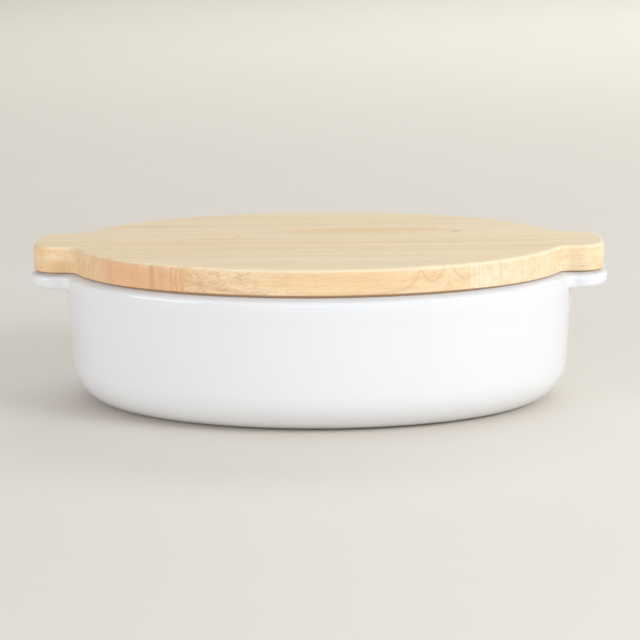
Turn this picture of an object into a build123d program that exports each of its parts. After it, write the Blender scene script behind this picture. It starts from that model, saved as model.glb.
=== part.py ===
from build123d import *
import os

# Covered oval casserole dish: a glazed stoneware baker with a flat tab handle at each end,
# closed by a lift-off wooden board lid of the same outline.
# Millimetres. X runs along the dish from handle to handle, Z is up, and the origin is the
# centre of the foot, on the surface that the dish stands on.

# ---- driving dimensions ----
DISH_HEIGHT = 76.0
RIM_HALF_LENGTH = 144.5       # outer rim ellipse, along X
RIM_HALF_WIDTH = 101.5        # outer rim ellipse, along Y
WALL = 7.0
FLOOR_TOP = 8.0               # inner floor, above the surface that the dish stands on
WALL_DRAFT_INSET = 4.5        # how far the wall leans in from under the handles to the base
BASE_RADIUS = 23.5            # round between wall and base, outside
BASIN_RADIUS = 19.0           # the same, inside
RIM_LIP = 0.4                 # the rim band stands this far out from the wall below it

RIM_SLOPE_WIDTH = 5.6         # the top falls away outward over this width
RIM_SLOPE_DROP = 2.2
RIM_OUTER_RADIUS = 2.0
RIM_INNER_RADIUS = 1.0

RECESS_INSET = 34.0           # inner edge of the foot ring, inside the rim's outer edge
RECESS_DEPTH = 1.2            # the base inside the foot ring clears the surface by this
RECESS_RADIUS = 0.8

HANDLE_TIP = 163.0            # half of the overall length
HANDLE_HALF_WIDTH = 26.0
HANDLE_CORNER_RADIUS = 17.0
HANDLE_THICKNESS = 9.0
TAB_BLEND_RADIUS = 8.0        # in plan, where a tab runs into the oval
HANDLE_UNDER_RADIUS = 3.0

LID_MARGIN = 4.0              # the lid's oval stops this far inside the rim's outer edge
LID_TIP = 161.0
LID_TAB_HALF_WIDTH = 24.0
LID_TAB_CORNER_RADIUS = 15.0
LID_THICKNESS = 15.0
LID_TOP_RADIUS = 2.2
LID_BOTTOM_RADIUS = 1.0

STEP_DEPTH = 4.5              # locating step that drops inside the rim
STEP_CLEARANCE = 2.0          # all round, between the step and the dish's mouth
STEP_RADIUS = 1.0

MIDDLE_STAVE_WIDTH = 41.0
MIDDLE_STAVE_COUNT = 4
JOINT_SKEW = 2.3              # degrees; the board's joints lie askew to the dish's length

# ---- derived sizes ----
LID_HALF_LENGTH = RIM_HALF_LENGTH - LID_MARGIN
LID_HALF_WIDTH = RIM_HALF_WIDTH - LID_MARGIN
LID_BASE_Z = DISH_HEIGHT
LID_TOP_Z = LID_BASE_Z + LID_THICKNESS
STEP_BASE_Z = LID_BASE_Z - STEP_DEPTH
HANDLE_BASE_Z = DISH_HEIGHT - HANDLE_THICKNESS
BODY_TOP_Z = DISH_HEIGHT - HANDLE_THICKNESS / 2


def oval(inset):
    """The rim's outer ellipse, drawn in by the same amount along both axes."""
    return Ellipse(RIM_HALF_LENGTH - inset, RIM_HALF_WIDTH - inset)


def wall_cone(top_z, top_inset, base_z, base_inset):
    """A straight-sided oval tub between two ellipses."""
    upper = Pos(0, 0, top_z) * oval(top_inset)
    lower = Pos(0, 0, base_z) * oval(base_inset)
    return loft([lower.face(), upper.face()], ruled=True)


def tabbed_plate(half_length, half_width, tip, tab_half_width, corner_radius, base_z, thickness):
    """A flat oval plate with a round-cornered tab at each end, blended into it in plan."""
    tabs = RectangleRounded(2 * tip, 2 * tab_half_width, corner_radius)
    outline = Ellipse(half_length, half_width) + tabs
    plate = extrude(Pos(0, 0, base_z) * outline, thickness)
    # The four inner corners, where the tabs' sides meet the ellipse.
    inner_corners = [
        edge
        for edge in plate.edges().filter_by(Axis.Z)
        if abs(abs(edge.center().Y) - tab_half_width) < 0.01
        and abs(edge.center().X) < half_length
    ]
    return fillet(inner_corners, TAB_BLEND_RADIUS)


def edges_at_height(solid, z):
    """All edges that lie flat at one height."""
    return solid.edges().filter_by_position(Axis.Z, z - 0.01, z + 0.01)


def make_body():
    """The oval tub, still solid inside, hollowed under the base to leave a flat foot ring."""
    body = wall_cone(BODY_TOP_Z, RIM_LIP, 0, WALL_DRAFT_INSET)
    body = fillet(edges_at_height(body, 0), BASE_RADIUS)
    recess = extrude(oval(RECESS_INSET), RECESS_DEPTH)
    recess = fillet(edges_at_height(recess, RECESS_DEPTH), RECESS_RADIUS)
    return body - recess


def make_rim_and_handles():
    """The rim band with both tab handles: one plate, its top falling away at the edge."""
    plate = tabbed_plate(
        RIM_HALF_LENGTH,
        RIM_HALF_WIDTH,
        HANDLE_TIP,
        HANDLE_HALF_WIDTH,
        HANDLE_CORNER_RADIUS,
        HANDLE_BASE_Z,
        HANDLE_THICKNESS,
    )
    top = plate.faces().sort_by(Axis.Z)[-1]
    plate = chamfer(top.edges(), RIM_SLOPE_WIDTH, RIM_SLOPE_DROP, reference=top)
    plate = fillet(edges_at_height(plate, DISH_HEIGHT - RIM_SLOPE_DROP), RIM_OUTER_RADIUS)
    return fillet(edges_at_height(plate, HANDLE_BASE_Z), HANDLE_UNDER_RADIUS)


def make_basin():
    """The hollow of the dish."""
    wall_slope = (WALL_DRAFT_INSET - RIM_LIP) / BODY_TOP_Z
    floor_inset = WALL + wall_slope * (DISH_HEIGHT - FLOOR_TOP)
    basin = wall_cone(DISH_HEIGHT, WALL, FLOOR_TOP, floor_inset)
    return fillet(edges_at_height(basin, FLOOR_TOP), BASIN_RADIUS)


def make_dish():
    """The whole stoneware piece."""
    dish = make_body() + make_rim_and_handles() - make_basin()
    mouth = edges_at_height(dish, DISH_HEIGHT).sort_by(SortBy.LENGTH)[-1]
    return fillet(mouth, RIM_INNER_RADIUS)


def make_lid_board():
    """The lid before it is divided into staves: board and locating step."""
    board = tabbed_plate(
        LID_HALF_LENGTH,
        LID_HALF_WIDTH,
        LID_TIP,
        LID_TAB_HALF_WIDTH,
        LID_TAB_CORNER_RADIUS,
        LID_BASE_Z,
        LID_THICKNESS,
    )
    board = fillet(edges_at_height(board, LID_TOP_Z), LID_TOP_RADIUS)
    board = fillet(edges_at_height(board, LID_BASE_Z), LID_BOTTOM_RADIUS)
    step = extrude(Pos(0, 0, STEP_BASE_Z) * oval(WALL + STEP_CLEARANCE), STEP_DEPTH + 1)
    step = fillet(edges_at_height(step, STEP_BASE_Z), STEP_RADIUS)
    return board + step


def make_staves():
    """The staves, cut from one board along its joints and numbered from the front (-Y) back."""
    board = make_lid_board()
    middle_half_width = MIDDLE_STAVE_WIDTH * MIDDLE_STAVE_COUNT / 2
    joint_lines = [
        MIDDLE_STAVE_WIDTH * index - middle_half_width for index in range(MIDDLE_STAVE_COUNT + 1)
    ]
    borders = [-RIM_HALF_WIDTH] + joint_lines + [RIM_HALF_WIDTH]
    staves = []
    for front, back in zip(borders, borders[1:]):
        strip = Box(
            2.4 * HANDLE_TIP,
            back - front,
            LID_TOP_Z,
            align=(Align.CENTER, Align.MIN, Align.MIN),
        )
        staves.append(board & (Rot(0, 0, JOINT_SKEW) * Pos(0, front, STEP_BASE_Z - 1) * strip))
    return staves


os.makedirs("parts", exist_ok=True)
export_step(make_dish(), "parts/dish.step")
for number, stave in enumerate(make_staves(), start=1):
    export_step(stave, f"parts/lid_stave_{number}.step")
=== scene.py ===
import math

import bmesh
import bpy
from mathutils import Matrix, Vector


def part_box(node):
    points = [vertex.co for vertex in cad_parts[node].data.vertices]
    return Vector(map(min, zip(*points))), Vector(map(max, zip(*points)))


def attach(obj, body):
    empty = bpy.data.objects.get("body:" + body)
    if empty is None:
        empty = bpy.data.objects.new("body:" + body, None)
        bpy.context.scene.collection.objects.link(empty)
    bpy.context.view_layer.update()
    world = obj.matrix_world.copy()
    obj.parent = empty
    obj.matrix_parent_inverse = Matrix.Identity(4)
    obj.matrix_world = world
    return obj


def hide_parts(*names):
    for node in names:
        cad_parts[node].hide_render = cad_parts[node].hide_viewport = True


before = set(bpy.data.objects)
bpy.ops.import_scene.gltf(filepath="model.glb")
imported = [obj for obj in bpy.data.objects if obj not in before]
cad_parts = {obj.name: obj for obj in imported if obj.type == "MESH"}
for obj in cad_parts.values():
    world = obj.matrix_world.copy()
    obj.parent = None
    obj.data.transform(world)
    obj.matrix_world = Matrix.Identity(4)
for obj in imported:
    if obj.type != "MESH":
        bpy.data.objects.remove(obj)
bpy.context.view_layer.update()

# Covered oval casserole dish: glazed stoneware under an edge-glued wooden board lid.
# The sizes of the two bodies come from the frame.
# Lengths are metres, written as millimetres times MM.

MM = 0.001

# ---- sizes that the frame gives ----
DISH_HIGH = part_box("dish")[1]
STAVES = sorted(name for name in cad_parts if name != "dish")
STAVE_BOXES = [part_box(name) for name in STAVES]
DISH_HEIGHT = DISH_HIGH.z
HANDLE_TIP = DISH_HIGH.x
RIM_HALF_WIDTH = DISH_HIGH.y
LID_TIP = max(high.x for low, high in STAVE_BOXES)
LID_HALF_WIDTH = max(high.y for low, high in STAVE_BOXES)
LID_TOP = max(high.z for low, high in STAVE_BOXES)
STEP_BASE = min(low.z for low, high in STAVE_BOXES)

# ---- the dish's own shape ----
RIM_HALF_LENGTH = 144.5 * MM
WALL = 7.0 * MM
FLOOR_TOP = 8.0 * MM
WALL_SLOPE = 4.1 / 71.5         # inward lean for each metre of depth
WALL_TOP = 71.5 * MM            # halfway up the handles' band
WALL_TOP_INSET = 0.4 * MM       # the wall's inset there
BASE_RADIUS = 23.5 * MM
BASIN_RADIUS = 19.0 * MM
RECESS_INSET = 34.0 * MM        # inner edge of the flat ring that the dish stands on
RECESS_DEPTH = 1.2 * MM
RIM_SLOPE_WIDTH = 5.6 * MM      # the top falls away outward over this width
RIM_SLOPE_DROP = 2.2 * MM
RIM_OUTER_RADIUS = 2.0 * MM
RIM_INNER_RADIUS = 1.0 * MM
HANDLE_HALF_WIDTH = 26.0 * MM
HANDLE_CORNER_RADIUS = 17.0 * MM
HANDLE_THICKNESS = 9.0 * MM
HANDLE_BASE = DISH_HEIGHT - HANDLE_THICKNESS
HANDLE_UNDER_RADIUS = 3.0 * MM
HANDLE_ROOT_RADIUS = 2.0 * MM   # hollow round where a handle's underside meets the wall
HANDLE_SIDE_STEP = 1.3 * MM     # a last row of points this far above the under round
LEDGE_START = 58 * MM           # height where the handles' sections leave the plain wall
CROWN_EASE = 0.3 * MM           # the rim's crown is eased over this much to each side
TAB_BLEND_RADIUS = 8.0 * MM     # in plan, where a tab runs into the oval

# ---- the lid's own shape ----
LID_MARGIN = 4.0 * MM           # the lid's oval stops this far inside the rim's outer edge
LID_HALF_LENGTH = RIM_HALF_LENGTH - LID_MARGIN
LID_TAB_HALF_WIDTH = 24.0 * MM
LID_TAB_CORNER_RADIUS = 15.0 * MM
LID_TOP_RADIUS = 2.2 * MM
LID_BOTTOM_RADIUS = 1.0 * MM
STEP_CLEARANCE = 2.0 * MM       # all round, between the step and the dish's mouth
STEP_INSET = WALL + STEP_CLEARANCE  # from the rim's outer ellipse
STEP_RADIUS = 1.0 * MM
SHOULDER_EASE = 0.3 * MM        # rings this far from the corners of the board's underside
TOP_EASE = 0.4 * MM             # a ring this far inside the upper arris keeps the top flat
TOP_INSET = 30 * MM             # the top's plain ellipses start this far in
STAVE_WIDTH = 41.0 * MM         # the middle staves, from joint to joint
JOINT_SKEW = math.radians(2.3)  # the joints and the grain lie askew to the dish's length

# ---- mesh density ----
# Points along each stretch of a quarter outline.
CORNER_POINTS = 22
STRAIGHT_POINTS = 3
BLEND_POINTS = 14
OVAL_POINTS = 56
BISECTION_STEPS = 60            # to find where the round beside a tab meets the ellipse
MERGE_DISTANCE = 0.004 * MM
FLAT_SCALES = (0.03, 0.3, 0.6, 0.85, 0.97)  # ellipses that fill a flat end, from the middle out


# ======== outlines ========

def smoothstep(low, high, value):
    t = min(max((value - low) / (high - low), 0.0), 1.0)
    return t * t * (3 - 2 * t)


def ellipse_point(half_length, half_width, angle):
    return Vector((half_length * math.cos(angle), half_width * math.sin(angle)))


def ellipse_inward(half_length, half_width, angle):
    outward = Vector((math.cos(angle) / half_length, math.sin(angle) / half_width))
    return -outward.normalized()


def arc(centre, radius, start, end, count, inward_sign):
    """Points on an arc with their inward directions; the first point is left out."""
    made = []
    for index in range(1, count + 1):
        angle = start + (end - start) * index / count
        spoke = Vector((math.cos(angle), math.sin(angle)))
        made.append((centre + spoke * radius, spoke * inward_sign))
    return made


def blend_angle(half_length, half_width, tab_half_width, radius):
    """The ellipse parameter where the round between tab and ellipse ends."""
    low, high = 0.0, math.pi / 2
    for _ in range(BISECTION_STEPS):
        middle = (low + high) / 2
        centre = ellipse_point(half_length, half_width, middle)
        centre -= ellipse_inward(half_length, half_width, middle) * radius
        if centre.y < tab_half_width + radius:
            low = middle
        else:
            high = middle
    return (low + high) / 2


class Outline:
    """An ellipse with a round-cornered tab at each end, as points in a ring.

    Each point has an inward direction and the parameter of the plain ellipse's point that
    belongs to it, so that plain elliptical rings can be joined to the outline."""

    def __init__(self, half_length, half_width, tip, tab_half_width, corner_radius):
        self.half_length = half_length
        self.half_width = half_width
        end = blend_angle(half_length, half_width, tab_half_width, TAB_BLEND_RADIUS)
        inward = ellipse_inward(half_length, half_width, end)
        blend_centre = ellipse_point(half_length, half_width, end) - inward * TAB_BLEND_RADIUS
        corner = Vector((tip - corner_radius, tab_half_width - corner_radius))
        tab = [(Vector((tip, 0.0)), Vector((-1.0, 0.0)))]
        tab.append((Vector((tip, corner.y)), Vector((-1.0, 0.0))))
        tab += arc(corner, corner_radius, 0.0, math.pi / 2, CORNER_POINTS, -1)
        straight_end = Vector((blend_centre.x, tab_half_width))
        straight_start = tab[-1][0]
        for index in range(1, STRAIGHT_POINTS + 1):
            spot = straight_start.lerp(straight_end, index / STRAIGHT_POINTS)
            tab.append((spot, Vector((0.0, -1.0))))
        last = math.atan2(inward.y, inward.x)
        last = last if last < 0 else last - 2 * math.pi
        tab += arc(blend_centre, TAB_BLEND_RADIUS, -math.pi / 2, last, BLEND_POINTS, 1)
        travelled = [0.0]
        for (before, _), (after, _) in zip(tab, tab[1:]):
            travelled.append(travelled[-1] + (after - before).length)
        quarter = []
        for (spot, direction), distance in zip(tab, travelled):
            quarter.append((spot, direction, end * distance / travelled[-1]))
        for index in range(1, OVAL_POINTS + 1):
            angle = end + (math.pi / 2 - end) * index / OVAL_POINTS
            quarter.append((
                ellipse_point(half_length, half_width, angle),
                ellipse_inward(half_length, half_width, angle),
                angle,
            ))
        self.ring = self.mirrored(quarter)

    @staticmethod
    def mirrored(quarter):
        """The whole ring, anticlockwise from the +X tip."""
        half = list(quarter)
        for spot, direction, angle in reversed(quarter[:-1]):
            half.append((
                Vector((-spot.x, spot.y)),
                Vector((-direction.x, direction.y)),
                math.pi - angle,
            ))
        whole = list(half)
        for spot, direction, angle in reversed(half[1:-1]):
            whole.append((
                Vector((spot.x, -spot.y)),
                Vector((direction.x, -direction.y)),
                -angle,
            ))
        return whole

    def offset(self, distance, z):
        """The outline drawn in by one distance along its inward directions."""
        return [(spot + inward * distance).to_3d() + Vector((0, 0, z))
                for spot, inward, _ in self.ring]

    def ellipse(self, inset, z, scale=1.0):
        """The plain ellipse, drawn in along both axes, with the outline's spacing."""
        made = []
        for _, _, angle in self.ring:
            spot = ellipse_point(self.half_length - inset, self.half_width - inset, angle)
            made.append((spot * scale).to_3d() + Vector((0, 0, z)))
        return made


def between(first, second, share):
    return [a.lerp(b, share) for a, b in zip(first, second)]


def round_profile(inset_centre, z_centre, radius, start, end, count):
    """(inset, z) points of a round seen in section; angle 0 points outward, 90 up."""
    made = []
    for index in range(count + 1):
        angle = math.radians(start + (end - start) * index / count)
        made.append((inset_centre - radius * math.cos(angle), z_centre + radius * math.sin(angle)))
    return made


def bridge(mesh, rows):
    """Joins each closed row of vertices to the next with quads."""
    count = len(rows[0])
    for lower, upper in zip(rows, rows[1:]):
        for index in range(count):
            after = (index + 1) % count
            mesh.faces.new((lower[index], lower[after], upper[after], upper[index]))


def skin(rings):
    """A closed mesh of quads over rings of equal length, with a fan over each end."""
    mesh = bmesh.new()
    rows = [[mesh.verts.new(spot) for spot in ring] for ring in rings]
    bridge(mesh, rows)
    count = len(rings[0])
    for row in (rows[0], rows[-1]):
        centre = mesh.verts.new(sum((v.co for v in row), Vector()) / count)
        for index in range(count):
            mesh.faces.new((row[index], row[(index + 1) % count], centre))
    bmesh.ops.remove_doubles(mesh, verts=mesh.verts, dist=MERGE_DISTANCE)
    bmesh.ops.recalc_face_normals(mesh, faces=mesh.faces)
    return mesh


def add_object(name, mesh, sharp_degrees):
    """Puts a bmesh into the scene with smooth shading and sharp creases."""
    data = bpy.data.meshes.new(name)
    mesh.to_mesh(data)
    mesh.free()
    data.shade_smooth()
    data.set_sharp_from_angle(angle=math.radians(sharp_degrees))
    made = bpy.data.objects.new(name, data)
    bpy.context.scene.collection.objects.link(made)
    return made


# ======== dish ========

def wall_inset(z):
    """Inset of the outer wall at one height, easing to nothing at the rim band."""
    lean = WALL_TOP_INSET + WALL_SLOPE * (WALL_TOP - z)
    return lean * (1 - smoothstep(LEDGE_START, HANDLE_BASE + HANDLE_UNDER_RADIUS, z))


def handle_sections(width):
    """(lateral, z) from the wall round a handle's underside, for one local width of ledge.

    A hollow round at the wall runs into the round of the handle's lower edge. Where the
    ledge is narrower than both together they touch, and where it has no width they vanish."""
    both = HANDLE_ROOT_RADIUS + HANDLE_UNDER_RADIUS
    edge = Vector((width - HANDLE_UNDER_RADIUS, HANDLE_BASE + HANDLE_UNDER_RADIUS))
    root = Vector((HANDLE_ROOT_RADIUS, HANDLE_BASE - HANDLE_ROOT_RADIUS))
    if width < both:
        root.y = edge.y - math.sqrt(both ** 2 - (both - width) ** 2)
    turn = math.pi / 2 if width >= both else math.atan2(edge.y - root.y, edge.x - root.x)
    points = [(0.0, LEDGE_START + (root.y - LEDGE_START) * share) for share in (0.0, 0.4, 0.75)]
    for index in range(7):
        angle = math.pi + (turn - math.pi) * index / 6
        points.append((
            root.x + HANDLE_ROOT_RADIUS * math.cos(angle),
            root.y + HANDLE_ROOT_RADIUS * math.sin(angle),
        ))
    arc_start = (
        edge.x - HANDLE_UNDER_RADIUS * math.cos(turn),
        edge.y - HANDLE_UNDER_RADIUS * math.sin(turn),
    )
    last = points[-1]
    for share in (0.2, 0.4, 0.6, 0.8):
        points.append(tuple(a + (b - a) * share for a, b in zip(last, arc_start)))
    for index in range(8):
        angle = (turn - math.pi) * (1 - index / 7)
        points.append((
            edge.x + HANDLE_UNDER_RADIUS * math.cos(angle),
            edge.y + HANDLE_UNDER_RADIUS * math.sin(angle),
        ))
    points.append((width, edge.y + HANDLE_SIDE_STEP))
    return points


def handle_rings(outline):
    """Rings that climb the wall and pass under and round the two tab handles."""
    columns = []
    for spot, _, angle in outline.ring:
        at_wall = ellipse_point(outline.half_length, outline.half_width, angle)
        width = (spot - at_wall).length
        column = []
        for lateral, z in handle_sections(width):
            inset = wall_inset(z)
            wall = ellipse_point(outline.half_length - inset, outline.half_width - inset, angle)
            share = lateral / width if width > 1e-6 else 0.0
            column.append(wall.lerp(spot, share).to_3d() + Vector((0, 0, z)))
        columns.append(column)
    return [list(ring) for ring in zip(*columns)]


def foot_profile():
    """(inset, z) from the recess under the dish, over the foot ring, to the wall."""
    lean = math.degrees(math.atan(WALL_SLOPE))
    centre_inset = WALL_TOP_INSET + WALL_SLOPE * (WALL_TOP - BASE_RADIUS)
    centre_inset += BASE_RADIUS / math.cos(math.radians(lean))
    profile = [(RECESS_INSET + 1.6 * MM, RECESS_DEPTH), (RECESS_INSET + 0.9 * MM, RECESS_DEPTH)]
    profile += [(RECESS_INSET + 0.4 * MM, RECESS_DEPTH * 0.8), (RECESS_INSET, RECESS_DEPTH * 0.4)]
    profile += [(RECESS_INSET - 0.4 * MM, 0.1 * MM), (RECESS_INSET - 1.0 * MM, 0.0)]
    profile.append(((RECESS_INSET + centre_inset) / 2, 0.0))
    profile += round_profile(centre_inset, BASE_RADIUS, BASE_RADIUS, -90, -lean, 24)
    return profile


def basin_profile():
    """(inset, z) from the rim's inner round down the inside to the flat floor."""
    lean = math.degrees(math.atan(WALL_SLOPE))
    centre_z = FLOOR_TOP + BASIN_RADIUS
    floor_inset = WALL + WALL_SLOPE * (DISH_HEIGHT - centre_z)
    centre_inset = floor_inset + BASIN_RADIUS / math.cos(math.radians(lean))
    rim_centre = WALL - RIM_INNER_RADIUS + WALL_SLOPE * RIM_INNER_RADIUS
    rim = []
    for index in range(7):
        angle = math.radians(90 - 90 * index / 6)
        rim.append((
            rim_centre + RIM_INNER_RADIUS * math.cos(angle),
            DISH_HEIGHT - RIM_INNER_RADIUS * (1 - math.sin(angle)),
        ))
    bowl = []
    for index in range(17):
        angle = math.radians(lean + (90 - lean) * index / 16)
        bowl.append((
            centre_inset - BASIN_RADIUS * math.cos(angle),
            centre_z - BASIN_RADIUS * math.sin(angle),
        ))
    top_inset, top_z = rim[-1]
    low_inset, low_z = bowl[0]
    wall = []
    for index in range(1, 12):
        share = index / 12
        wall.append((top_inset + (low_inset - top_inset) * share, top_z + (low_z - top_z) * share))
    return rim + wall + bowl


def rim_profile():
    """(inset, z) from the outer wall over the rim's outer round and slope to its crown."""
    lean = math.atan2(RIM_SLOPE_DROP, RIM_SLOPE_WIDTH)
    turn = math.pi / 2 - lean
    centre_z = DISH_HEIGHT - RIM_SLOPE_DROP - RIM_OUTER_RADIUS * math.tan(turn / 2)
    profile = round_profile(
        RIM_OUTER_RADIUS, centre_z, RIM_OUTER_RADIUS, 0, math.degrees(turn), 7
    )
    fall = RIM_SLOPE_DROP / RIM_SLOPE_WIDTH
    first_inset, first_z = profile[-1]
    start_inset = RIM_SLOPE_WIDTH - CROWN_EASE
    start_z = DISH_HEIGHT - CROWN_EASE * fall
    for share in (0.25, 0.5, 0.75, 1.0):
        profile.append((
            first_inset + (start_inset - first_inset) * share,
            first_z + (start_z - first_z) * share,
        ))
    for share in (0.25, 0.5, 0.75, 1.0):
        inset = start_inset + 2 * CROWN_EASE * share
        profile.append((inset, start_z + CROWN_EASE * fall * share * (2 - share)))
    return profile


def make_dish():
    """The stoneware piece: foot, belly, wall, handles, rim and basin in one skin."""
    outline = Outline(
        RIM_HALF_LENGTH, RIM_HALF_WIDTH, HANDLE_TIP, HANDLE_HALF_WIDTH, HANDLE_CORNER_RADIUS
    )
    rings = []
    under = foot_profile()
    for scale in FLAT_SCALES:
        rings.append(outline.ellipse(under[0][0], RECESS_DEPTH, scale))
    rings += [outline.ellipse(inset, z) for inset, z in under]
    belly_top = under[-1][1]
    for index in range(1, 10):
        z = belly_top + (LEDGE_START - belly_top) * index / 10
        rings.append(outline.ellipse(wall_inset(z), z))
    rings += handle_rings(outline)
    rings += [outline.offset(inset, z) for inset, z in rim_profile()]
    inside = basin_profile()
    crown = rings[-1]
    mouth = outline.ellipse(inside[0][0], DISH_HEIGHT)
    rings += [between(crown, mouth, share) for share in (0.15, 0.35, 0.55, 0.75, 0.9)]
    rings += [outline.ellipse(inset, z) for inset, z in inside]
    for scale in (0.97, 0.8, 0.55, 0.3, 0.03):
        rings.append(outline.ellipse(inside[-1][0], FLOOR_TOP, scale))
    return add_object("glazed_dish", skin(rings), sharp_degrees=50)


# ======== lid ========

def lid_blank():
    """The whole board with its locating step, before it is divided into staves."""
    outline = Outline(
        LID_HALF_LENGTH, LID_HALF_WIDTH, LID_TIP, LID_TAB_HALF_WIDTH, LID_TAB_CORNER_RADIUS
    )
    step_inset = STEP_INSET - (RIM_HALF_LENGTH - LID_HALF_LENGTH)
    rings = []
    for scale in FLAT_SCALES:
        rings.append(outline.ellipse(step_inset + STEP_RADIUS, STEP_BASE, scale))
    for inset, z in round_profile(
        step_inset + STEP_RADIUS, STEP_BASE + STEP_RADIUS, STEP_RADIUS, -90, 0, 5
    ):
        rings.append(outline.ellipse(inset, z))
    rings.append(outline.ellipse(step_inset, DISH_HEIGHT - SHOULDER_EASE))
    shoulder = outline.ellipse(step_inset, DISH_HEIGHT)
    edge = outline.offset(LID_BOTTOM_RADIUS + SHOULDER_EASE, DISH_HEIGHT)
    for share in (0.0, 0.1, 0.4, 0.7, 1.0):
        rings.append(between(shoulder, edge, share))
    for inset, z in round_profile(
        LID_BOTTOM_RADIUS, DISH_HEIGHT + LID_BOTTOM_RADIUS, LID_BOTTOM_RADIUS, -90, 0, 5
    ):
        rings.append(outline.offset(inset, z))
    side_low = DISH_HEIGHT + LID_BOTTOM_RADIUS
    side_high = LID_TOP - LID_TOP_RADIUS
    for index in range(1, 6):
        rings.append(outline.offset(0.0, side_low + (side_high - side_low) * index / 6))
    for inset, z in round_profile(LID_TOP_RADIUS, side_high, LID_TOP_RADIUS, 0, 90, 7):
        rings.append(outline.offset(inset, z))
    rim = outline.offset(LID_TOP_RADIUS + TOP_EASE, LID_TOP)
    rings.append(rim)
    inner = outline.ellipse(TOP_INSET, LID_TOP)
    for share in (0.25, 0.6, 1.0):
        rings.append(between(rim, inner, share))
    for scale in (0.7, 0.4, 0.03):
        rings.append(outline.ellipse(TOP_INSET, LID_TOP, scale))
    return skin(rings)


def stave_borders(name):
    """Where a stave's front and back joints lie across the board; None at the board's edge."""
    number = STAVES.index(name)
    before_middle = len(STAVES) // 2
    front = (number - before_middle) * STAVE_WIDTH if number > 0 else None
    back = (number + 1 - before_middle) * STAVE_WIDTH if number < len(STAVES) - 1 else None
    return front, back


def cut_away(mesh, across, keep_above):
    """Cuts a closed mesh with an upright plane along a joint and closes the cut."""
    direction = Matrix.Rotation(JOINT_SKEW, 3, "Z") @ Vector((0, 1, 0))
    everything = mesh.verts[:] + mesh.edges[:] + mesh.faces[:]
    result = bmesh.ops.bisect_plane(
        mesh,
        geom=everything,
        dist=1e-6,
        plane_co=direction * across,
        plane_no=direction,
        clear_inner=keep_above,
        clear_outer=not keep_above,
    )
    border = [item for item in result["geom_cut"] if isinstance(item, bmesh.types.BMEdge)]
    bmesh.ops.contextual_create(mesh, geom=border)


def make_stave(name):
    """One stave: the lid blank between its two glue lines."""
    front, back = stave_borders(name)
    mesh = lid_blank()
    if front is not None:
        cut_away(mesh, front, True)
    if back is not None:
        cut_away(mesh, back, False)
    bmesh.ops.recalc_face_normals(mesh, faces=mesh.faces)
    return add_object(f"wood_{name[4:]}", mesh, sharp_degrees=40)


# ======== node helpers ========

class Material:
    """A node material under construction: short calls for nodes and links.

    Its coordinates are the object's own, turned about Z so that X runs along the grain."""

    def __init__(self, name, turn=0.0):
        self.turn = turn
        self.material = bpy.data.materials.new(name)
        self.material.use_nodes = True
        self.tree = self.material.node_tree
        self.tree.nodes.clear()
        self.output = self.tree.nodes.new("ShaderNodeOutputMaterial")

    def add(self, kind, inputs=None, **settings):
        made = self.tree.nodes.new(kind)
        for key, value in settings.items():
            setattr(made, key, value)
        for key, value in (inputs or {}).items():
            self.feed(made.inputs[key], value)
        return made

    def feed(self, socket, value):
        if isinstance(value, bpy.types.NodeSocket):
            self.tree.links.new(value, socket)
        else:
            socket.default_value = value

    def maths(self, operation, first, second=0.0, third=0.0, clamp=False):
        inputs = {0: first, 1: second, 2: third}
        made = self.add("ShaderNodeMath", inputs, operation=operation, use_clamp=clamp)
        return made.outputs[0]

    def place(self, scale=(1, 1, 1), shift=(0, 0, 0)):
        """Object coordinates, turned, scaled and shifted."""
        coordinates = self.add("ShaderNodeTexCoord").outputs["Object"]
        coordinates = self.add(
            "ShaderNodeVectorRotate",
            {"Vector": coordinates, "Angle": -self.turn},
            rotation_type="Z_AXIS",
        ).outputs[0]
        inputs = {"Vector": coordinates, "Location": shift, "Scale": scale}
        return self.add("ShaderNodeMapping", inputs).outputs[0]

    def noise(self, vector, scale=1.0, detail=2.0, roughness=0.5, distortion=0.0):
        inputs = {
            "Vector": vector,
            "Scale": scale,
            "Detail": detail,
            "Roughness": roughness,
            "Distortion": distortion,
        }
        return self.add("ShaderNodeTexNoise", inputs).outputs["Fac"]

    def span(self, value, low, high, to_low=0.0, to_high=1.0):
        inputs = {"Value": value, 1: low, 2: high, 3: to_low, 4: to_high}
        made = self.add("ShaderNodeMapRange", inputs, interpolation_type="SMOOTHSTEP")
        return made.outputs["Result"]

    def mix(self, share, first, second, blend="MIX"):
        made = self.add("ShaderNodeMix", data_type="RGBA", blend_type=blend)
        colours = [socket for socket in made.inputs if socket.type == "RGBA"]
        self.feed(made.inputs["Factor"], share)
        self.feed(colours[0], first)
        self.feed(colours[1], second)
        return [socket for socket in made.outputs if socket.type == "RGBA"][0]

    def bump(self, height, strength, distance, normal=None):
        inputs = {"Height": height, "Strength": strength, "Distance": distance}
        if normal is not None:
            inputs["Normal"] = normal
        return self.add("ShaderNodeBump", inputs).outputs[0]

    def finish(self, surface):
        self.tree.links.new(surface, self.output.inputs["Surface"])
        return self.material


# ======== dish material ========

GLAZE_TINTS = (0.722, 0.724, 0.737, 1), (0.748, 0.749, 0.759, 1)
SPECK = (0.52, 0.46, 0.38, 1)
THIN_GLAZE = (0.80, 0.77, 0.71, 1)          # at crisp edges the clay shows through a little
CLAY_TINTS = (0.50, 0.42, 0.32, 1), (0.68, 0.61, 0.50, 1)
GLAZE_ENDS = 0.45 * MM, 0.85 * MM           # its lower border wanders between these heights


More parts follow.
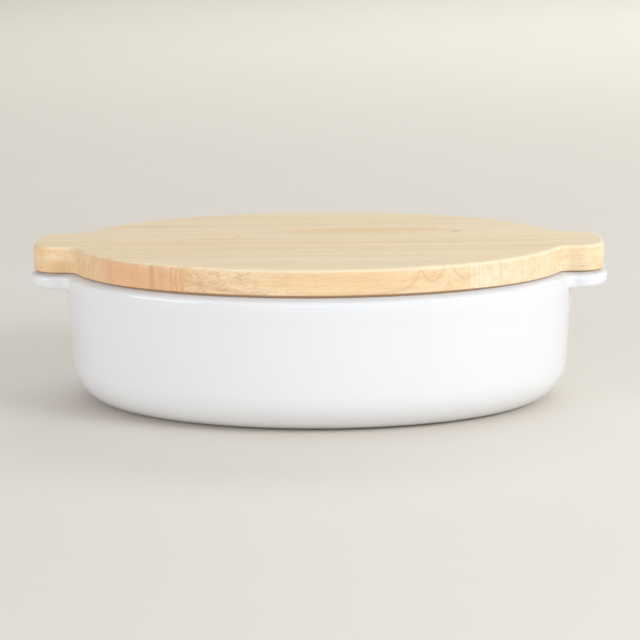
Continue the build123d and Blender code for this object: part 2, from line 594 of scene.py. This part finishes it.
def glaze_material():
    """White glossy glaze over buff clay, bare where the foot ring touches the table."""
    made = Material("white_glaze")
    place = made.place()
    height = made.add("ShaderNodeSeparateXYZ", {0: place}).outputs["Z"]
    ripple = made.noise(place, scale=38.0, detail=1.0)
    skin_grain = made.noise(place, scale=420.0, detail=2.0)
    cloud = made.noise(place, scale=9.0, detail=3.0)
    tint = made.mix(cloud, *GLAZE_TINTS)
    pits = made.add("ShaderNodeTexVoronoi", {"Vector": place, "Scale": 95.0}, feature="F1")
    pit = made.span(pits.outputs["Distance"], 0.02, 0.05, 1.0, 0.0)
    rare = made.add("ShaderNodeSeparateColor", {0: pits.outputs["Color"]}).outputs["Red"]
    speck = made.maths("MULTIPLY", pit, made.span(rare, 0.93, 0.95))
    tint = made.mix(made.maths("MULTIPLY", speck, 0.25), tint, SPECK)
    edge = made.add("ShaderNodeNewGeometry").outputs["Pointiness"]
    thin = made.span(edge, 0.53, 0.62)
    tint = made.mix(made.maths("MULTIPLY", thin, 0.35), tint, THIN_GLAZE)
    glaze_height = made.maths("MULTIPLY_ADD", skin_grain, 0.03, ripple)
    glaze_normal = made.bump(glaze_height, 0.12, 0.6 * MM)
    glaze = made.add("ShaderNodeBsdfPrincipled", {
        "Base Color": tint,
        "Roughness": made.span(cloud, 0.2, 0.8, 0.10, 0.16),
        "IOR": 1.52,
        "Normal": glaze_normal,
        "Coat Weight": 0.4,
        "Coat Roughness": 0.04,
    })
    grit = made.noise(place, scale=900.0, detail=4.0)
    clay_colour = made.mix(grit, *CLAY_TINTS)
    clay = made.add("ShaderNodeBsdfPrincipled", {
        "Base Color": clay_colour,
        "Roughness": 0.85,
        "Normal": made.bump(grit, 0.5, 0.15 * MM),
    })
    wander = made.span(made.noise(place, scale=60.0), 0.0, 1.0, *GLAZE_ENDS)
    bare = made.maths("LESS_THAN", height, wander)
    surface = made.add(
        "ShaderNodeMixShader", {0: bare, 1: glaze.outputs[0], 2: clay.outputs[0]}
    )
    return made.finish(surface.outputs[0])


# ======== wood ========

# Each stave: pith position beside the board (y, z), how strongly the warm and rosy tones and
# the growth layers show, the rosy share of its left end and the pale share of its right, a
# shift along the noise, and how much darker its whole tone is. Optional: how strongly the
# curl near its left end shows; and, in millimetres, humps of the layers (x, width, height);
# late-wood bands (y, half width, strength); soft warm streaks (x, y, half length, half width,
# strength); pin knots (x, y, half length).
STAVE_WOOD = {
    "lid_stave_1": dict(
        pith=(-25, 95), warm=0.85, rosy=0.35, layers=0.34, left=0.50, right=0.05,
        shift=3.1, tone=0.0, curl=0.65,
        humps=((53, 3.0, 9), (68, 3.0, 14)),
    ),
    "lid_stave_2": dict(
        pith=(-260, 25), warm=0.55, rosy=0.35, layers=0.26, left=1.00, right=0.70,
        shift=7.7, tone=0.03,
        bands=((-43.0, 0.8, 0.35), (-53.5, 2.0, 0.20), (-72.5, 0.8, 0.75), (-75.7, 1.2, 0.30),
               (-78.5, 0.35, 0.55), (-79.8, 0.3, 0.60), (-81.1, 0.3, 0.60)),
        streaks=((-18, -72, 8, 3.5, 0.35), (22, -67, 60, 2.5, 0.15)),
    ),
    "lid_stave_3": dict(
        pith=(210, -90), warm=1.00, rosy=0.20, layers=0.06, left=0.70, right=0.60,
        shift=14.9, tone=0.08,
        streaks=((-80, -9, 35, 2.5, 0.18), (40, -36, 45, 2.0, 0.15)),
    ),
    "lid_stave_4": dict(
        pith=(-60, 40), warm=0.50, rosy=0.35, layers=0.30, left=0.20, right=0.20,
        shift=18.9, tone=0.0,
        streaks=((27, 31, 58, 11, 1.0), (-54, 5, 28, 5, 0.55), (95, 8, 30, 3.5, 0.2)),
        knots=((80, 23, 4.2), (-46, 11, 2.2)),
    ),
    "lid_stave_5": dict(
        pith=(190, -30), warm=0.50, rosy=0.35, layers=0.28, left=0.20, right=0.20,
        shift=23.4, tone=0.10,
        streaks=((-28, 67, 40, 3.0, 0.22),),
    ),
    "lid_stave_6": dict(
        pith=(90, 160), warm=0.40, rosy=0.20, layers=0.30, left=0.20, right=0.20,
        shift=29.8, tone=0.02,
    ),
}
LAYER_WANDER = 8 * MM
BAND_SWAY = 2.5 * MM


def growth_layers(made, place, name):
    """Dark late-wood lines: layers round a pith line along X, wandering along the stave."""
    facts = STAVE_WOOD[name]
    middle = (STAVES.index(name) - (len(STAVES) - 1) / 2) * STAVE_WIDTH
    shift = facts["shift"]
    parts = made.add("ShaderNodeSeparateXYZ", {0: place}).outputs
    wander_y = made.noise(made.place((5, 20, 20), (shift, 0.0, 0.0)), detail=2.0)
    wander_z = made.noise(made.place((4, 20, 20), (0.0, shift, 2.0)), detail=2.0)
    pith_y, pith_z = (value * MM for value in facts["pith"])
    centre_y = middle + pith_y
    centre_z = (DISH_HEIGHT + LID_TOP) / 2 + pith_z
    offset_y = made.maths("SUBTRACT", parts["Y"], centre_y)
    offset_z = made.maths("SUBTRACT", parts["Z"], centre_z)
    offset_y = made.maths("MULTIPLY_ADD", wander_y, LAYER_WANDER, offset_y)
    offset_z = made.maths("MULTIPLY_ADD", wander_z, LAYER_WANDER, offset_z)
    for x, width, height in facts.get("humps", ()):
        along = made.maths("SUBTRACT", parts["X"], x * MM)
        along = made.maths("DIVIDE", along, width * MM)
        hump = made.maths("DIVIDE", height * MM, made.maths("MULTIPLY_ADD", along, along, 1.0))
        offset_z = made.maths("SUBTRACT", offset_z, hump)
    square = made.maths("MULTIPLY", offset_z, offset_z)
    square = made.maths("MULTIPLY_ADD", offset_y, offset_y, square)
    radius = made.maths("ADD", made.maths("SQRT", square), shift)
    wide = made.add(
        "ShaderNodeTexNoise",
        {"W": radius, "Scale": 150.0, "Detail": 1.0},
        noise_dimensions="1D",
    ).outputs["Fac"]
    narrow = made.add(
        "ShaderNodeTexNoise",
        {"W": radius, "Scale": 420.0, "Detail": 1.0, "Roughness": 0.4},
        noise_dimensions="1D",
    ).outputs["Fac"]
    groups = made.span(wide, 0.42, 0.66, 0.15, 1.0)
    lines = made.maths("MULTIPLY", made.span(narrow, 0.40, 0.72), groups)
    layers = made.maths("MULTIPLY_ADD", made.span(wide, 0.35, 0.75), 0.30, lines)
    return made.maths("MULTIPLY", layers, facts["layers"])


def late_bands(made, place, name):
    """Single dark bands of late wood that run along the stave."""
    parts = made.add("ShaderNodeSeparateXYZ", {0: place}).outputs
    sway = made.noise(made.place((7, 60, 90), (STAVE_WOOD[name]["shift"], 4.0, 0.0)), detail=3.0)
    across = made.maths("MULTIPLY_ADD", made.maths("SUBTRACT", sway, 0.5), BAND_SWAY, parts["Y"])
    total = None
    for y, half_width, strength in STAVE_WOOD[name].get("bands", ()):
        away = made.maths("ABSOLUTE", made.maths("SUBTRACT", across, y * MM))
        band = made.span(away, 0.2 * half_width * MM, 1.4 * half_width * MM, strength, 0.0)
        total = band if total is None else made.maths("MAXIMUM", total, band)
    return total


def oval_spot(made, place, spot, half_length, half_width):
    """1 inside a soft ragged oval of the top's plan, 0 outside it; spot is its middle."""
    x, y = spot
    parts = made.add("ShaderNodeSeparateXYZ", {0: place}).outputs
    along = made.maths("SUBTRACT", parts["X"], x * MM)
    along = made.maths("DIVIDE", along, half_length * MM)
    across = made.maths("SUBTRACT", parts["Y"], y * MM)
    ragged = made.noise(made.place((60, 500, 500), (x, y, 0.0)), detail=2.0)
    across = made.maths("MULTIPLY_ADD", ragged, 0.6 * half_width * MM, across)
    across = made.maths("DIVIDE", across, half_width * MM)
    square = made.maths("MULTIPLY", along, along)
    square = made.maths("MULTIPLY_ADD", across, across, square)
    return made.span(square, 0.1, 1.3, 1.0, 0.0)


def pore_dashes(made, scale, shift, rarity):
    """Open pores seen as short dashes along X; rarity runs from none left out to all."""
    cells = made.add(
        "ShaderNodeTexVoronoi",
        {"Vector": made.place(scale, (shift, shift * 0.61, shift * 0.27)), "Scale": 1.0},
        feature="F1",
    ).outputs
    chance = made.add("ShaderNodeSeparateColor", {0: cells["Color"]}).outputs["Red"]
    near = made.span(cells["Distance"], 0.08, 0.26, 1.0, 0.0)
    return made.maths("MULTIPLY", near, made.span(chance, rarity, rarity + 0.15))


CREAM = (0.87, 0.735, 0.505, 1)
HONEY = (0.79, 0.560, 0.295, 1)
ROSE = (0.78, 0.438, 0.232, 1)
AMBER = (0.84, 0.56, 0.29, 1)
PALE = (0.84, 0.735, 0.54, 1)
LATE_WOOD = (0.60, 0.33, 0.17, 1)
FIBRE = (0.60, 0.39, 0.20, 1)
PORE = (0.39, 0.225, 0.11, 1)
# Dark brown of the oiled edges, and of the painted shade on the lower arris.
OIL_DARK_AND_SHADE = (0.26, 0.14, 0.07, 1)

# Places along the grain, X from and to.
LEFT_FADES = -72 * MM, -35 * MM             # the rosy left end gives way to the ground tone
LEFT_TIP_FADES = -128 * MM, -106 * MM       # it is weaker beyond this, towards the tip
RIGHT_STARTS = 55 * MM, 86 * MM             # the pale right end sets in
RIGHT_TIP_FADES = 92 * MM, 112 * MM         # it too is weaker towards the tip
CURL_FADES = -62 * MM, 0.0                  # the curled grain dies out
ARRIS_HIGHLIGHT_RISES = -75 * MM, -30 * MM           # the painted highlight on the upper arris grows towards the right
# The painted shade on the lower arris: its height at the middle and towards the tips, and where
# that changes.
SHADE_BAND_HEIGHTS = 1.7 * MM, 0.6 * MM
SHADE_BAND_SHRINKS = 55 * MM, 150 * MM
BOARD_FOOT = DISH_HEIGHT - 0.05 * MM        # the locating step lies below this
GLUE_HALF_WIDTHS = 0.05 * MM, 0.30 * MM     # core and soft border


def ground_tone(made, facts, broad, drift, upright):
    """Cream to honey along the broad streaks, with rosy drifts."""
    warm = made.span(broad, 0.28, 0.72, 0.0, facts["warm"])
    warm = made.maths("MULTIPLY", warm, made.span(upright, 0.0, 1.0, 0.50, 1.0))
    warm = made.maths("ADD", warm, facts["tone"], clamp=True)
    colour = made.mix(warm, CREAM, HONEY)
    rosy = made.maths("MULTIPLY", made.span(upright, 0.0, 1.0, 0.35, 1.0), facts["rosy"])
    rosy = made.maths("MULTIPLY", made.span(drift, 0.40, 0.72), rosy)
    return made.mix(rosy, colour, ROSE)


def end_shares(made, facts, parts, broad):
    """How rosy the left end is and how pale the right end, at each place along the stave."""
    leftward = made.span(parts["X"], *LEFT_FADES, facts["left"], 0.0)
    left_tip = made.span(parts["X"], *LEFT_TIP_FADES, 0.45, 1.0)
    leftward = made.maths("MULTIPLY", leftward, left_tip)
    leftward = made.maths("MULTIPLY", leftward, made.span(broad, 0.3, 0.7, 0.75, 1.0))
    rightward = made.span(parts["X"], *RIGHT_STARTS, 0.0, facts["right"])
    right_tip = made.span(parts["X"], *RIGHT_TIP_FADES, 1.0, 0.65)
    return leftward, made.maths("MULTIPLY", rightward, right_tip)


def add_streaks(made, facts, place, streaks, colour):
    """Soft warm streaks on the top."""
    for x, y, half_length, half_width, strength in facts.get("streaks", ()):
        streak = oval_spot(made, place, (x, y), half_length, half_width)
        ragged = made.span(streaks, 0.36, 0.58, 0.45 * strength, strength)
        streak = made.maths("MULTIPLY", streak, ragged)
        colour = made.mix(streak, colour, AMBER)
    return colour


def add_dark_lines(made, name, place, rightward, upright, colour):
    """Growth layers and late-wood bands, calmer at the pale end and on the top."""
    calm = made.span(rightward, 0.0, 0.6, 1.0, 0.3)
    even_top = made.span(upright, 0.0, 1.0, 0.35, 1.0)
    dark_line = growth_layers(made, place, name)
    if "bands" in STAVE_WOOD[name]:
        dark_line = made.maths("MAXIMUM", dark_line, late_bands(made, place, name))
    dark_line = made.maths("MULTIPLY", made.maths("MULTIPLY", dark_line, calm), even_top)
    return made.mix(dark_line, colour, LATE_WOOD)


def add_curl(made, facts, shift, parts, upright, colour):
    """The curled grain of a stave's edge."""
    curl = made.noise(made.place((150, 560, 560), shift), detail=3.0, distortion=0.8)
    curl = made.maths("MULTIPLY", made.span(curl, 0.44, 0.68), facts["curl"])
    curl = made.maths("MULTIPLY", curl, made.span(parts["X"], *CURL_FADES, 1.0, 0.15))
    return made.mix(made.maths("MULTIPLY", curl, upright), colour, LATE_WOOD)


def add_knots(made, facts, place, colour):
    """Pin knots: a brown spot round a small dark core."""
    for x, y, half_length in facts.get("knots", ()):
        knot = oval_spot(made, place, (x, y), half_length, 0.7 * half_length)
        colour = made.mix(made.maths("MULTIPLY", knot, 0.55), colour, FIBRE)
        core = oval_spot(made, place, (x, y), 0.35 * half_length, 0.3 * half_length)
        colour = made.mix(made.maths("MULTIPLY", core, 0.45), colour, PORE)
    return colour


def add_arris_highlight_and_shade(made, parts, upward, colour):
    """Painted light on the arrises: a painted pale highlight on the upper arris, and painted dark
    shade on the lower one, above the gap over the rim's slope.
    """
    # Painted highlight: the upper arris is coloured pale, more strongly towards the right.
    upper = made.span(upward, 0.12, 0.5)
    upper = made.maths("MULTIPLY", upper, made.span(upward, 0.7, 0.95, 1.0, 0.0))
    highlight_share = made.span(parts["X"], *ARRIS_HIGHLIGHT_RISES, 0.15, 0.45)
    colour = made.mix(made.maths("MULTIPLY", upper, highlight_share), colour, PALE)
    # Painted shade: the lower arris is darkened brown, tallest at the middle, where the board
    # overhangs the gap above the rim's slope.
    reach = made.maths("ABSOLUTE", parts["X"])
    reach = made.span(reach, *SHADE_BAND_SHRINKS, *SHADE_BAND_HEIGHTS)
    lower = made.maths("SUBTRACT", parts["Z"], DISH_HEIGHT)
    lower = made.span(made.maths("DIVIDE", lower, reach), 0.65, 1.0, 0.90, 0.0)
    lower = made.maths("MULTIPLY", lower, made.span(upward, -0.98, -0.90))
    on_board = made.maths("GREATER_THAN", parts["Z"], BOARD_FOOT)
    lower = made.maths("MULTIPLY", lower, on_board)
    return made.mix(lower, colour, OIL_DARK_AND_SHADE)


def add_glue(made, name, parts, colour):
    """A hair of glue where this stave meets the next."""
    for joint in stave_borders(name):
        if joint is not None:
            away = made.maths("ABSOLUTE", made.maths("SUBTRACT", parts["Y"], joint))
            glue = made.span(away, *GLUE_HALF_WIDTHS, 0.26, 0.0)
            colour = made.mix(glue, colour, FIBRE)
    return colour


def wood_material(name):
    """Rubberwood: cream ground, growth layers, fibre streaks, pores and a glue line."""
    facts = STAVE_WOOD[name]
    made = Material(f"rubberwood_{name[4:]}", turn=JOINT_SKEW)
    shift = (facts["shift"], facts["shift"] * 0.37, 0.0)
    place = made.place()
    parts = made.add("ShaderNodeSeparateXYZ", {0: place}).outputs
    # Fibre streaks along X at three widths, and slow colour drift.
    broad = made.noise(made.place((2.5, 75, 75), shift), detail=3.0, roughness=0.6)
    streaks = made.noise(made.place((9, 420, 420), shift), detail=3.0, roughness=0.6)
    fine = made.noise(made.place((26, 1500, 1500), shift), detail=2.0, roughness=0.65)
    drift = made.noise(made.place((6, 24, 24), shift), detail=2.0)
    small_pores = pore_dashes(made, (130, 1150, 1150), facts["shift"], 0.45)
    large_pores = pore_dashes(made, (75, 560, 560), facts["shift"] + 5.0, 0.80)
    # The warm and pale ends show on the upright edges; the top keeps one even tone.
    facing = made.add("ShaderNodeTexCoord").outputs["Normal"]
    upward = made.add("ShaderNodeSeparateXYZ", {0: facing}).outputs["Z"]
    upright = made.span(upward, 0.35, 0.85, 1.0, 0.0)
    colour = ground_tone(made, facts, broad, drift, upright)
    leftward, rightward = end_shares(made, facts, parts, broad)
    colour = made.mix(made.maths("MULTIPLY", leftward, upright), colour, ROSE)
    colour = made.mix(made.maths("MULTIPLY", rightward, upright), colour, PALE)
    colour = add_streaks(made, facts, place, streaks, colour)
    colour = add_dark_lines(made, name, place, rightward, upright, colour)
    if "curl" in facts:
        colour = add_curl(made, facts, shift, parts, upright, colour)
    fibre = made.span(upright, 0.0, 1.0, 0.21, 0.36)
    fibre = made.maths("MULTIPLY", made.span(streaks, 0.42, 0.72), fibre)
    colour = made.mix(fibre, colour, FIBRE)
    colour = made.mix(made.span(fine, 0.35, 0.75, 0.0, 0.20), colour, FIBRE)
    colour = made.mix(made.maths("MULTIPLY", small_pores, 0.42), colour, PORE)
    colour = made.mix(made.maths("MULTIPLY", large_pores, 0.50), colour, PORE)
    colour = add_knots(made, facts, place, colour)
    # The edges drink more oil than the top and look a little darker.
    colour = made.mix(made.maths("MULTIPLY", upright, 0.035), colour, OIL_DARK_AND_SHADE)
    # Painted highlight on the upper arris and painted shade on the lower one.
    colour = add_arris_highlight_and_shade(made, parts, upward, colour)
    colour = add_glue(made, name, parts, colour)
    relief = made.maths("MULTIPLY_ADD", streaks, 0.4, made.maths("MULTIPLY", fine, 0.3))
    relief = made.maths("SUBTRACT", relief, small_pores)
    surface = made.add("ShaderNodeBsdfPrincipled", {
        "Base Color": colour,
        "Roughness": made.span(streaks, 0.2, 0.8, 0.46, 0.60),
        "IOR": 1.45,
        "Normal": made.bump(relief, 0.30, 0.10 * MM),
    })
    return made.finish(surface.outputs[0])


# ======== studio ========

FLOOR_RADII = (0.3, 0.8, 1.6, 3.0)  # rings of the flat floor
SWEEP_START = 4.5               # radius where the floor begins to curve up
SWEEP_RADIUS = 1.0
SWEEP_STEPS = 16
SWEEP_TOP = 2.6
STAGE_SIDES = 96
FLOOR_TINTS = (0.748, 0.692, 0.615, 1), (0.776, 0.720, 0.643, 1)


def make_stage():
    """A pale seamless floor that curves up into a wall all round."""
    profile = [(radius, 0.0) for radius in (*FLOOR_RADII, SWEEP_START)]
    for index in range(1, SWEEP_STEPS + 1):
        angle = math.pi / 2 * index / SWEEP_STEPS
        across = SWEEP_START + SWEEP_RADIUS * math.sin(angle)
        profile.append((across, SWEEP_RADIUS * (1 - math.cos(angle))))
    profile.append((SWEEP_START + SWEEP_RADIUS, SWEEP_TOP))
    angles = [math.tau * index / STAGE_SIDES for index in range(STAGE_SIDES)]
    mesh = bmesh.new()
    rows = [
        [mesh.verts.new((across * math.cos(a), across * math.sin(a), z)) for a in angles]
        for across, z in profile
    ]
    bridge(mesh, rows)
    mesh.faces.new(rows[0])
    stage = add_object("studio_floor", mesh, sharp_degrees=80)
    made = Material("pale_board")
    place = made.place()
    cloud = made.noise(place, scale=3.0, detail=3.0)
    colour = made.mix(cloud, *FLOOR_TINTS)
    grain = made.noise(place, scale=700.0, detail=2.0)
    surface = made.add("ShaderNodeBsdfPrincipled", {
        "Base Color": colour,
        "Roughness": made.span(cloud, 0.0, 1.0, 0.56, 0.62),
        "IOR": 1.45,
        "Specular IOR Level": 0.2,
        "Normal": made.bump(grain, 0.05, 0.1 * MM),
    })
    stage.data.materials.append(made.finish(surface.outputs[0]))


# Softboxes: place, aim, size, power and colour. The key stands to the right of the camera,
# with a low wide strip in front of the dish and a broad fill to the left. One hangs over the
# dish, and one lights the floor far behind it.
COOL = (0.90, 0.95, 1.0)
FAR_COOL = (0.895, 0.96, 0.985)
DISH_MIDDLE = (0.0, 0.0, 0.04)
SOFTBOXES = {
    "key": ((1.35, -0.80, 0.75), DISH_MIDDLE, (0.7, 0.7), 18.6, COOL),
    "front": ((0.0, -2.1, 0.22), DISH_MIDDLE, (2.4, 0.4), 12.3, COOL),
    "left": ((-1.7, -1.1, 0.45), DISH_MIDDLE, (1.2, 0.8), 13.6, COOL),
    "overhead": ((0.0, -0.1, 1.9), DISH_MIDDLE, (2.0, 1.8), 4.0, COOL),
    "far": ((1.8, 2.55, 2.4), (1.8, 3.25, 0.0), (4.8, 2.2), 87.0, FAR_COOL),
}
AMBIENT = (0.94, 0.95, 0.98)
AMBIENT_STRENGTH = 0.50


def softbox(name, place, aim, size, power, colour):
    light = bpy.data.lights.new(name, "AREA")
    light.shape = "RECTANGLE"
    light.size, light.size_y = size
    light.energy = power
    light.color = colour
    holder = bpy.data.objects.new(name, light)
    holder.location = place
    holder.rotation_mode = "QUATERNION"
    holder.rotation_quaternion = (Vector(aim) - Vector(place)).to_track_quat("-Z", "Y")
    holder.visible_camera = False
    bpy.context.scene.collection.objects.link(holder)


def make_lights():
    for name, facts in SOFTBOXES.items():
        softbox(name, *facts)
    world = bpy.data.worlds.new("studio")
    bpy.context.scene.world = world
    world.use_nodes = True
    background = world.node_tree.nodes["Background"]
    background.inputs["Color"].default_value = (*AMBIENT, 1)
    background.inputs["Strength"].default_value = AMBIENT_STRENGTH


# ======== camera ========

# Lens and sensor in millimetres, places in metres.
LENS = 123.8
SENSOR_WIDTH = 36.0
CAMERA_DISTANCE = 1.2332
CAMERA_HEIGHT = 0.3040
CAMERA_PITCH = 11.913           # degrees below the horizon
DISH_TURN = -1.653              # degrees, dish against camera
CAMERA_ROLL = -0.531
DISH_SLIDE = -0.51 * MM         # across the view
CAMERA_CLIP = 0.05, 50.0


def make_camera():
    """The camera at the front, a little right of the middle and above the lid."""
    turn, pitch, roll = (math.radians(a) for a in (DISH_TURN, CAMERA_PITCH, CAMERA_ROLL))
    unturn = Matrix.Rotation(-turn, 3, "Z")
    forward = unturn @ Vector((0, math.cos(pitch), -math.sin(pitch)))
    up = unturn @ Vector((0, math.sin(pitch), math.cos(pitch)))
    right = unturn @ Vector((1, 0, 0))
    right, up = (
        right * math.cos(roll) + up * math.sin(roll),
        up * math.cos(roll) - right * math.sin(roll),
    )
    place = unturn @ Vector((-DISH_SLIDE, -CAMERA_DISTANCE, CAMERA_HEIGHT))
    data = bpy.data.cameras.new("camera")
    data.lens = LENS
    data.sensor_width = SENSOR_WIDTH
    data.clip_start, data.clip_end = CAMERA_CLIP
    camera = bpy.data.objects.new("camera", data)
    bpy.context.scene.collection.objects.link(camera)
    axes = Matrix((right, up, -forward)).transposed()
    camera.matrix_world = Matrix.Translation(place) @ axes.to_4x4()
    bpy.context.scene.camera = camera


# ======== assembly ========

dish = make_dish()
dish.data.materials.append(glaze_material())
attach(dish, "dish")
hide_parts("dish")

for stave_name in STAVES:
    stave = make_stave(stave_name)
    stave.data.materials.append(wood_material(stave_name))
    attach(stave, "lid")
    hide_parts(stave_name)

make_stage()
make_lights()
make_camera()
bpy.context.scene.view_settings.view_transform = "Standard"
